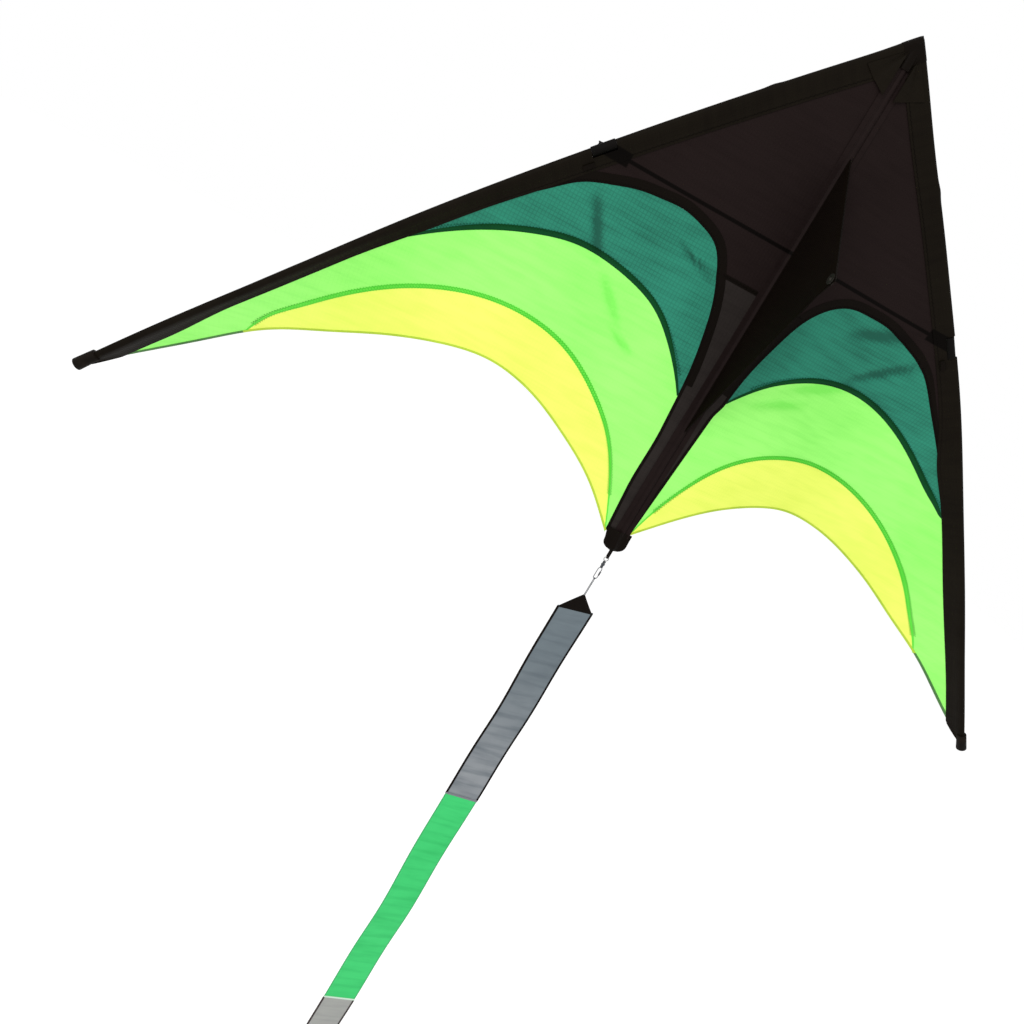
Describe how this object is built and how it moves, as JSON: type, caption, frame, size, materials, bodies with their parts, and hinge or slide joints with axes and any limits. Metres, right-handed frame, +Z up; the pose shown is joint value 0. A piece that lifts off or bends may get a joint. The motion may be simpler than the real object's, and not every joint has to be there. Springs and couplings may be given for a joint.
{
  "type": "delta kite",
  "caption": "Single-line delta kite with banded crescent sails, a keel fin, a snap-in cross spreader, folding wings and a ribbon tail on a swivel clip.",
  "frame": {"origin": "centre of the tow eyelet in the keel", "axes": "+Z up the spine to the nose, -Y to the keel side, +X to the right wing as seen from the keel side"},
  "size_m": [1.607, 0.2869, 2.2461],
  "materials": {
    "black_ripstop": "ripstop",
    "teal_ripstop": "ripstop",
    "dark_green_ripstop": "ripstop",
    "lime_ripstop": "ripstop",
    "leaf_ripstop": "ripstop",
    "yellow_ripstop": "ripstop",
    "grey_ribbon": "taffeta",
    "green_ribbon": "taffeta",
    "rod": "pultruded glass fibre",
    "black_vinyl": "satin",
    "plated_steel": "polished",
    "grey_line": "braided"
  },
  "bodies": {
    "centre": {"spine_spar": "rod", "spine_top_cap": "black_vinyl", "spine_end_cap": "black_vinyl", "spine_sleeve": "black_ripstop", "nose_cover": "black_ripstop", "tail_pocket": "black_ripstop", "tail_loop": "black_ripstop"},
    "keel": {"keel_fin": "black_ripstop", "keel_front_hem": "black_ripstop", "keel_rear_hem": "black_ripstop", "tow_patch": "black_ripstop", "tow_eyelet": "plated_steel"},
    "spreader": {"spreader_rod": "rod", "spreader_end_caps": "black_vinyl"},
    "left_wing": {"left_spar": "rod", "left_spar_cap": "black_vinyl", "left_tip_cap": "black_vinyl", "left_sleeve": "black_ripstop", "left_top_panel": "black_ripstop", "left_strip_panel": "black_ripstop", "left_strip_seam": "black_ripstop", "left_arch_binding": "black_ripstop", "left_teal_panel": "teal_ripstop", "left_teal_seam": "dark_green_ripstop", "left_lime_panel": "lime_ripstop", "left_lime_seam": "leaf_ripstop", "left_yellow_panel": "yellow_ripstop", "left_trailing_hem": "leaf_ripstop", "left_nose_patch": "black_ripstop", "left_fitting": "black_vinyl", "left_stay_tab": "black_ripstop"},
    "right_wing": {"right_spar": "rod", "right_spar_cap": "black_vinyl", "right_tip_cap": "black_vinyl", "right_sleeve": "black_ripstop", "right_top_panel": "black_ripstop", "right_strip_panel": "black_ripstop", "right_strip_seam": "black_ripstop", "right_arch_binding": "black_ripstop", "right_teal_panel": "teal_ripstop", "right_teal_seam": "dark_green_ripstop", "right_lime_panel": "lime_ripstop", "right_lime_seam": "leaf_ripstop", "right_yellow_panel": "yellow_ripstop", "right_trailing_hem": "leaf_ripstop", "right_nose_patch": "black_ripstop", "right_fitting": "black_vinyl", "right_stay_tab": "black_ripstop"},
    "tail_link": {"swivel_ring": "plated_steel"},
    "tail_upper": {"swivel_barrel": "plated_steel", "snap_clip": "plated_steel", "tail_line": "grey_line", "tail_head": "black_ripstop", "tail_grey_panel": "grey_ribbon", "tail_grey_piping": "black_ripstop"},
    "tail_middle": {"tail_green_panel": "green_ribbon", "tail_green_seam": "grey_ribbon"},
    "tail_lower": {"tail_end_panel": "grey_ribbon", "tail_end_seam": "green_ribbon", "tail_end_piping": "black_ripstop"}
  },
  "joints": [
    {"name": "keel_swing", "type": "hinge", "parent": "centre", "child": "keel", "pos_m": [0, 0.14395, 0], "axis": [0, 0, 1], "range_deg": [-60, 60]},
    {"name": "spreader_pull", "type": "slide", "parent": "centre", "child": "spreader", "axis": [0, 1, 0], "range_m": [0, 0.5]},
    {"name": "right_wing_fold", "type": "hinge", "parent": "centre", "child": "right_wing", "pos_m": [0.008, 0.148, 0], "axis": [0, 0, 1], "range_deg": [0, 70]},
    {"name": "left_wing_fold", "type": "hinge", "parent": "centre", "child": "left_wing", "pos_m": [-0.008, 0.148, 0], "axis": [0, 0, -1], "range_deg": [0, 70]},
    {"name": "tail_swing", "type": "hinge", "parent": "centre", "child": "tail_link", "pos_m": [0, 0.148, -0.4876], "axis": [1, 0, 0], "range_deg": [-45, 45]},
    {"name": "tail_swivel", "type": "hinge", "parent": "tail_link", "child": "tail_upper", "pos_m": [0, 0.148, -0.4959], "axis": [0, 0, 1], "continuous": true},
    {"name": "tail_bend_upper", "type": "hinge", "parent": "tail_upper", "child": "tail_middle", "pos_m": [0, 0.148, -0.9931], "axis": [0.9781, 0.2079, 0], "range_deg": [-35, 35]},
    {"name": "tail_bend_lower", "type": "hinge", "parent": "tail_middle", "child": "tail_lower", "pos_m": [0, 0.148, -1.5231], "axis": [0.9781, 0.2079, 0], "range_deg": [-35, 35]}
  ],
  "couplings": [
    {"joint": "right_wing_fold", "follows": "spreader_pull", "rad_per_m": 2.44},
    {"joint": "left_wing_fold", "follows": "spreader_pull", "rad_per_m": 2.44}
  ]
}
